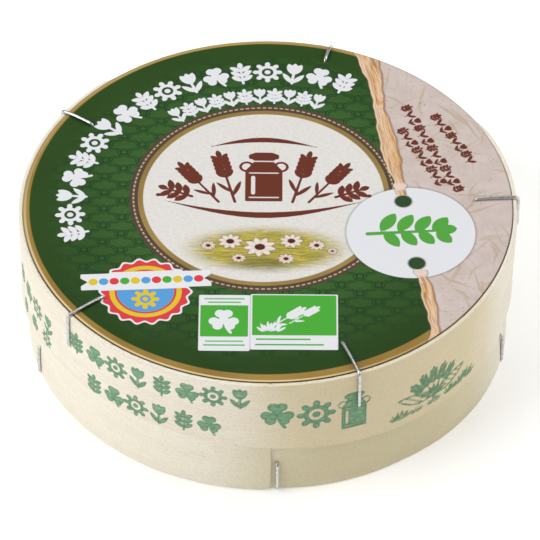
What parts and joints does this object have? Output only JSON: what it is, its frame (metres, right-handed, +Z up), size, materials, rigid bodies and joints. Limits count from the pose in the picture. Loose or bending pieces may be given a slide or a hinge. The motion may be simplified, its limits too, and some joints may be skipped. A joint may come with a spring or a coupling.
{
  "type": "boxed soft cheese wheel",
  "caption": "Soft white-rind cheese wheel wrapped in paper inside a round poplar-veneer box with a stapled base, a slip lid and a printed paper label.",
  "frame": {"origin": "on the box's axis, at the flat underside that it stands on", "axes": "+Z up along the box's axis, -Y towards the front, where the base's veneer seam shows, +X to the right"},
  "size_m": [0.1161, 0.1149, 0.0367],
  "materials": {
    "veneer": "matte",
    "disc_wood": "matte",
    "label_paper": "satin",
    "wire": "satin",
    "wrapper_paper": "satin",
    "rind": "matte"
  },
  "bodies": {
    "root": {"base_disc": "disc_wood", "base_band": "veneer", "base_staple_1": "wire", "base_staple_2": "wire", "base_staple_3": "wire", "base_staple_4": "wire", "base_staple_5": "wire", "lid_disc": "disc_wood", "lid_band": "veneer", "lid_label": "label_paper", "lid_staple_1": "wire", "lid_staple_2": "wire", "lid_staple_3": "wire", "lid_staple_4": "wire", "lid_staple_5": "wire", "cheese_wrapper": "wrapper_paper", "cheese_wheel": "rind"}
  },
  "joints": []
}
